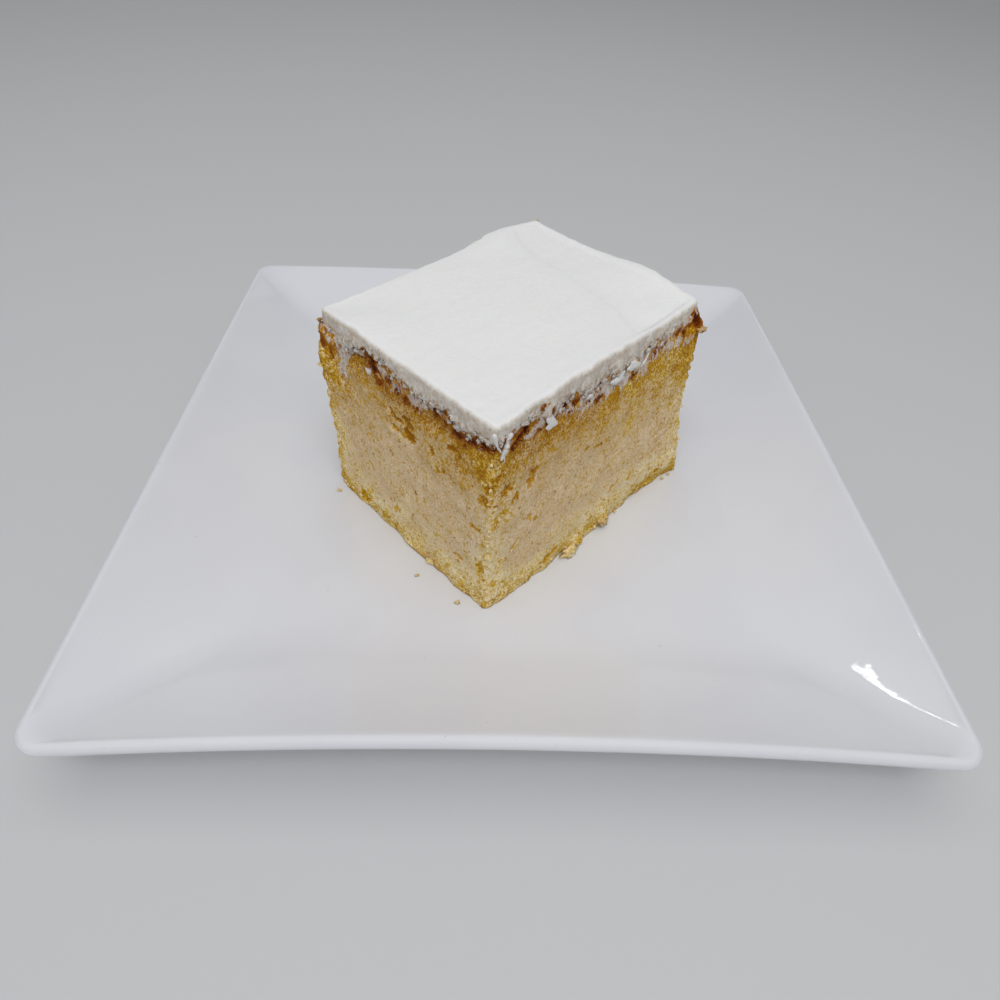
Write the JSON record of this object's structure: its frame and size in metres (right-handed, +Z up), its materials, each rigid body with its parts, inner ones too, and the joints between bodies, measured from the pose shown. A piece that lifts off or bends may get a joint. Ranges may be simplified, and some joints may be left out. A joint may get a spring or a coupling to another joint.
{
  "type": "plated tres leches cake slice",
  "caption": "Cut rectangular slice of tres leches sponge under smooth whipped cream, on a square porcelain plate with raised sloping sides.",
  "frame": {"origin": "middle of the plate's foot, on the table", "axes": "+Z up; +X to the right and +Y away along two sides of the square plate; the slice stands corner-on, with its front edge towards -Y"},
  "size_m": [0.21, 0.21, 0.071],
  "materials": {
    "porcelain": "gloss",
    "sponge_crumb": "matte",
    "whipped_cream": "satin"
  },
  "bodies": {
    "root": {"plate": "porcelain", "sponge": "sponge_crumb", "cream_topping": "whipped_cream"}
  },
  "joints": []
}
